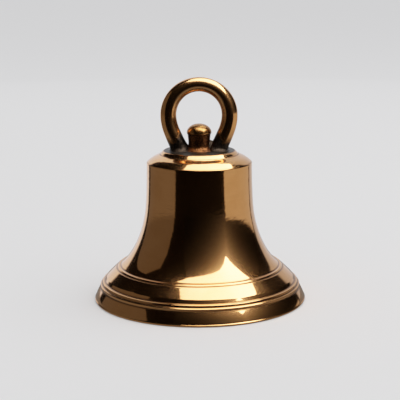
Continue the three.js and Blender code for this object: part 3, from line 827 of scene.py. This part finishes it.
def boss_skin(v):
    """1 on the boss's neck and foot, and 0.3 on its dome, which hands and weather have browned."""
    return 0.3 + 0.7 * smooth_step(-(v[:, 2] - (BOSS_TOP_Z - 9.5)), -1.4, 0.2)


def no_grooves(v):
    """0 everywhere, for pieces without grooves."""
    return np.zeros(len(v))


make_piece("bell_shell", [revolve(bell_outline(), 256)], BELL_BRONZE, "bell",
           ["bell_body"], {"cast_skin": bell_skin, "groove": bell_grooves})
make_piece("hanging_loop", [crown_loop(), casting_web()], LOOP_BRONZE, "bell",
           ["crown_loop"], {"cast_skin": loop_skin, "groove": no_grooves})
make_piece("domed_boss", [revolve(crown_boss(), 96)], BOSS_BRONZE, "bell",
           ["crown_boss"], {"cast_skin": boss_skin, "groove": no_grooves})
make_piece("forked_staple", staple_surfaces(), FORGED_STEEL, "bell", ["clapper_staple"])
pad = rounded_ring(BOLT_HOLE_R, 15.0, PAD_LOW[2], PAD_HIGH[2], 0.4)
make_piece("leather_pad", [revolve(pad, 72)], LEATHER, "bell", ["staple_pad"])
make_piece("clapper_pin", pin_surfaces(), FORGED_STEEL, "bell", ["pivot_pin"])
for end in ("front", "back"):
    low, high = cad_box("pin_washer_" + end)
    shim = rounded_ring(PIN_R + GAP, 6.5, low[1], high[1], 0.2)
    make_piece("pin_shim_" + end, [revolve(shim, 48, "y", (0, 0, PIVOT_Z))], TURNED_BRASS,
               "bell", ["pin_washer_" + end])
make_piece("bent_split_pin", split_pin_surfaces(), FORGED_STEEL, "bell", ["split_pin"])
low, high = cad_box("clapper_bush")
bush = rounded_ring(PIN_R + GAP, BUSH_R, low[1], high[1], 0.25)
make_piece("eye_bush", [revolve(bush, 48, "y", (0, 0, PIVOT_Z))], TURNED_BRASS,
           "clapper", ["clapper_bush"])
make_piece("clapper_bar", shank_surfaces(), FORGED_STEEL, "clapper", ["clapper_shank"])
make_piece("clapper_head", ball_surfaces(), BALL_BRONZE, "clapper", ["clapper_ball"])
make_piece("spring_washer", lock_washer_surfaces(), FORGED_STEEL, "clapper", ["ball_washer"])
make_piece("rope_eye", lanyard_eye_surfaces(), TURNED_BRASS, "clapper", ["lanyard_eye"])

# ---- Camera ----


def add_camera():
    """The eye is 1.12 m in front of the bell and 325 mm above the floor, with a long lens."""
    look_down, lean = math.radians(11.62), math.radians(-0.33)
    data = bpy.data.cameras.new("camera")
    data.sensor_width = 36
    data.lens = 109.47
    camera = bpy.data.objects.new("camera", data)
    camera.location = (0.0005, -1.12269, 0.32497)
    level = math.radians(90)
    aim = Euler((level - look_down, 0, 0)).to_matrix() @ Euler((0, 0, lean)).to_matrix()
    camera.rotation_euler = aim.to_euler()
    bpy.context.scene.collection.objects.link(camera)
    bpy.context.scene.camera = camera


add_camera()

# ---- Studio ----


# The height in metres that bearings are taken from.
BELL_MIDDLE_M = 0.06


def bearing(turn, rise, reach):
    """The point that lies reach metres from the bell's middle, at turn degrees to the right of the
    front and rise degrees above level: reach (sin turn cos rise, -cos turn cos rise, sin rise)."""
    turn, rise = np.radians(turn), np.radians(rise)
    return np.stack([reach * np.sin(turn) * np.cos(rise), -reach * np.cos(turn) * np.cos(rise),
                     reach * np.sin(rise) + BELL_MIDDLE_M], -1)


HARD_EDGES = ((0, 0), (0, 0))


def glow_material(name, code, strengths, soft):
    """Emission that runs from the first strength to the second across the sheet and fades out
    over soft[0] of its width and soft[1] of its height at the edges."""
    material, tree = new_material(name)
    on_sheet = add(tree, "ShaderNodeAttribute", {"attribute_name": "sheet"}).outputs["Vector"]
    split = add(tree, "ShaderNodeSeparateXYZ", Vector=on_sheet)
    fade = 1.0
    for axis, (start, end) in enumerate(soft):
        if start:
            edge = add(tree, STEP, SMOOTH, Value=split.outputs[axis], From_Max=start)
            fade = add(tree, MATH, TIMES, i0=fade, i1=edge)
        if end:
            edge = add(tree, STEP, SMOOTH, Value=split.outputs[axis], From_Min=1.0, From_Max=1.0 - end)
            fade = add(tree, MATH, TIMES, i0=fade, i1=edge)
    level = add(tree, MATH, TIMES_PLUS, i0=split.outputs[0], i1=strengths[1] - strengths[0], i2=strengths[0])
    light = add(tree, "ShaderNodeEmission", Color=linear(code), Strength=level)
    clear = add(tree, "ShaderNodeBsdfTransparent")
    both = add(tree, "ShaderNodeMixShader", i0=fade, i1=clear, i2=light)
    add(tree, "ShaderNodeOutputMaterial", Surface=both)
    return material


def spill_material(name, code, strength, turn_span, rise_span):
    """Light that leaks past the overhead diffuser: strongest below its near corner, it falls by
    exp(-1) for each 17 degrees to either side and for each 14 degrees downward."""
    material, tree = new_material(name)
    on_sheet = add(tree, "ShaderNodeAttribute", {"attribute_name": "sheet"}).outputs["Vector"]
    split = add(tree, "ShaderNodeSeparateXYZ", Vector=on_sheet)
    peak_turn, peak_rise = 52, 33
    fall_aside, fall_down = 17, 14
    width, height = turn_span[1] - turn_span[0], rise_span[1] - rise_span[0]
    aside = add(tree, MATH, LESS, i0=split.outputs[0], i1=(peak_turn - turn_span[0]) / width)
    aside = add(tree, MATH, {"operation": "ABSOLUTE"}, i0=aside)
    power = add(tree, MATH, TIMES_PLUS, i0=split.outputs[1], i1=height / fall_down,
                i2=(rise_span[0] - peak_rise) / fall_down)
    power = add(tree, MATH, TIMES_PLUS, i0=aside, i1=-width / fall_aside, i2=power)
    level = add(tree, MATH, TIMES, i0=add(tree, MATH, {"operation": "EXPONENT"}, i0=power), i1=strength)
    light = add(tree, "ShaderNodeEmission", Color=linear(code), Strength=level)
    add(tree, "ShaderNodeOutputMaterial", Surface=light)
    return material


def mirrored_only(thing):
    """Only the bell's reflections show it: it lights no paper and throws no shadow."""
    thing.visible_camera = thing.visible_diffuse = thing.visible_shadow = False


def mark_sheet(piece, sheet):
    """Writes where each point lies on its sheet: across from 0 to 1, and up from 0 to 1."""
    layer = piece.data.attributes.new("sheet", "FLOAT_VECTOR", "POINT")
    layer.data.foreach_set("vector", sheet.astype(np.float32).ravel())


def reflector(name, left, right, code, strengths, soft=HARD_EDGES, reach=2.0, material=None):
    """A curved sheet for the bell to mirror. Its left and right edges are lists of bearings from
    foot to head; between them it runs in equal steps of bearing."""
    left, right = np.array(left, float), np.array(right, float)
    count = 24
    u = v = np.linspace(0, 1, count)
    up = np.linspace(0, 1, len(left))
    at_left = np.stack([np.interp(v, up, left[:, k]) for k in (0, 1)], 1)
    at_right = np.stack([np.interp(v, up, right[:, k]) for k in (0, 1)], 1)
    angles = at_left[:, None] * (1 - u)[None, :, None] + at_right[:, None] * u[None, :, None]
    points = bearing(angles[..., 0], angles[..., 1], reach).reshape(-1, 3)
    r, c = np.arange(count - 1)[:, None], np.arange(count - 1)[None, :]
    quads = np.stack([r * count + c, r * count + c + 1, (r + 1) * count + c + 1, (r + 1) * count + c], -1)
    material = material or glow_material(name + "_light", code, strengths, soft)
    piece = add_mesh(name, points, quads.reshape(-1, 4).tolist(), material)
    across, upward = np.meshgrid(u, v)
    mark_sheet(piece, np.stack([across, upward, np.zeros_like(across)], -1))
    mirrored_only(piece)
    piece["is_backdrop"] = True


def ceiling_sheet(name, outline, height, code, strengths):
    """A flat overhead diffuser whose corners lie under the given bearings at one height."""
    turn, rise = np.radians(np.array(outline, float)).T
    flat = (height - BELL_MIDDLE_M) / np.tan(rise)
    x, y = flat * np.sin(turn), -flat * np.cos(turn)
    points = np.stack([x, y, np.full(len(x), height)], 1)
    material = glow_material(name + "_light", code, strengths, HARD_EDGES)
    piece = add_mesh(name, points, [list(range(len(points)))], material)
    across = (x - x.min()) / (x.max() - x.min())
    mark_sheet(piece, np.stack([across, np.zeros_like(across), np.zeros_like(across)], -1))
    mirrored_only(piece)
    piece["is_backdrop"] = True


# Bearings below are (turn, rise) in degrees: turn is to the right of the front, rise above level.

ceiling_sheet(
    "overhead_diffuser",
    [(50, 30.5), (76, 42), (104, 48.5), (140, 52), (-150, 70), (-68, 68.5), (-30, 64), (0, 61.5),
     (25, 56), (39, 50)],
    1.3, "#fff6ea", (5.0, 13.0),
)
reflector(
    "left_card",
    [(-133, -10), (-130, 8), (-120, 30), (-108, 41)],
    [(-50, -10), (-53, 8), (-63, 27), (-78, 41)],
    "#fff0e0", (0.15, 0.14), ((0.03, 0.03), (0.02, 0.06)),
)
reflector(
    "left_floor_card",
    [(-133, -34), (-133, 0)],
    [(-50, -34), (-52, 0)],
    "#fff2e2", (0.22, 0.22), ((0.03, 0.03), (0.0, 0.15)), 1.9,
)
reflector(
    "right_floor_card",
    [(46, -34), (55, 1.2)],
    [(134, -34), (134, 1.2)],
    "#fff3e4", (0.84, 0.8), ((0.03, 0.02), (0.0, 0.1)),
)
reflector(
    "back_card",
    [(134.5, -30), (134.5, 10), (134, 40), (128, 60)],
    [(221, -30), (221, 12), (213, 32), (207, 60)],
    "#fbfaff", (0.74, 1.6), ((0.06, 0.06), (0.0, 0.2)),
)
SPILL_TURN, SPILL_RISE = (-30, 116), (-4, 62)
reflector(
    "diffuser_spill",
    [(SPILL_TURN[0], rise) for rise in SPILL_RISE],
    [(SPILL_TURN[1], rise) for rise in SPILL_RISE],
    "#ffffff", (1, 1), reach=3.4,
    material=spill_material("spill_light", "#fff6ea", 0.85, SPILL_TURN, SPILL_RISE),
)


def add_floor():
    """A round sheet of pale matt paper, rings of points (r cos a, r sin a) out to 20 m. The bell
    mirrors near_floor and the floor cards in its place."""
    sides = 128
    turn = np.linspace(0, 2 * np.pi, sides, endpoint=False)
    radii = np.array([0.05, 0.3, 1, 3, 9, 20])[:, None]
    grid = np.stack([radii * np.cos(turn), radii * np.sin(turn), np.zeros((len(radii), sides))], -1)
    faces = grid_faces(len(radii), sides, False).tolist()
    faces.append(list(range(sides - 1, -1, -1)))
    material, tree = new_material("matt_paper")
    shader = add(tree, BSDF, Base_Color=linear("#ececee"), Roughness=0.9)
    add(tree, "ShaderNodeOutputMaterial", Surface=shader)
    floor = add_mesh("pale_floor", grid.reshape(-1, 3), faces, material)
    floor.visible_glossy = False
    floor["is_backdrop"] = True


add_floor()


def add_near_floor():
    """The same paper close round the bell, for the rim and the mouldings to mirror. It gives
    way to the sheets beyond it between 0.15 and 0.5 m off the axis, so that its edge never shows."""
    sides, radius, below = 96, 0.52, 0.0004
    turn = np.linspace(0, 2 * np.pi, sides, endpoint=False)
    ring = np.stack([radius * np.cos(turn), radius * np.sin(turn), np.full(sides, -below)], 1)
    material, tree = new_material("near_paper")
    place = add(tree, "ShaderNodeTexCoord").outputs["Object"]
    off_axis = add(tree, "ShaderNodeVectorMath", {"operation": "LENGTH"}, i0=place).outputs["Value"]
    near = add(tree, STEP, SMOOTH, Value=off_axis, From_Min=0.5, From_Max=0.15)
    light = add(tree, "ShaderNodeEmission", Color=linear("#f4f2f0"), Strength=0.3)
    clear = add(tree, "ShaderNodeBsdfTransparent")
    both = add(tree, "ShaderNodeMixShader", i0=near, i1=clear, i2=light)
    add(tree, "ShaderNodeOutputMaterial", Surface=both)
    sheet = add_mesh("near_floor", ring, [list(range(sides))], material)
    mirrored_only(sheet)
    sheet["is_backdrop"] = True


add_near_floor()


def area_light(name, place, size, power, aim=(0, 0, 0.05)):
    """A round soft light turned towards aim, which nothing mirrors."""
    data = bpy.data.lights.new(name, "AREA")
    data.shape = "DISK"
    data.size = size
    data.energy = power
    light = bpy.data.objects.new(name, data)
    light.location = place
    light.rotation_euler = (Vector(aim) - Vector(place)).to_track_quat("-Z", "Y").to_euler()
    light.visible_glossy = False
    bpy.context.scene.collection.objects.link(light)


# Two lights for the paper and the staple, which leave no highlight on the bronze.
area_light("floor_light", (1.1, 0.3, 2.4), 2.2, 16)
sun = bpy.data.lights.new("soft_daylight", "SUN")
sun.energy = 1.15
sun.angle = math.radians(100)
sun_at = bpy.data.objects.new("soft_daylight", sun)
sun_at.rotation_euler = (math.radians(12), math.radians(25), 0)
sun_at.visible_glossy = False
bpy.context.scene.collection.objects.link(sun_at)

# The room is white to the paper and nearly black where the bronze mirrors it.
world = bpy.data.worlds.new("studio")
world.use_nodes = True
tree = world.node_tree
tree.nodes.clear()
rays = add(tree, "ShaderNodeLightPath")
room = add(tree, MIX, COLOURS, i0=rays.outputs["Is Glossy Ray"], i6=linear("#ffffff"), i7=linear("#080502"))
air = add(tree, "ShaderNodeBackground", Color=room, Strength=1.0)
add(tree, "ShaderNodeOutputWorld", Surface=air)
bpy.context.scene.world = world


def film_response():
    """Light to print value as film does it: 1 - exp(-light), which bleaches strong highlights."""
    view = bpy.context.scene.view_settings
    view.view_transform = "Standard"
    view.use_curve_mapping = True
    mapping = view.curve_mapping
    top = 8.0
    mapping.white_level = (top, top, top)
    curve = mapping.curves[3]
    for light in (0.1, 0.25, 0.5, 0.85, 1.3, 1.9, 2.7, 3.8, 5.4):
        curve.points.new(light / top, 1 - math.exp(-light))
    curve.points[-1].location = (1.0, 1 - math.exp(-top))
    mapping.update()


film_response()

low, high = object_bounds()
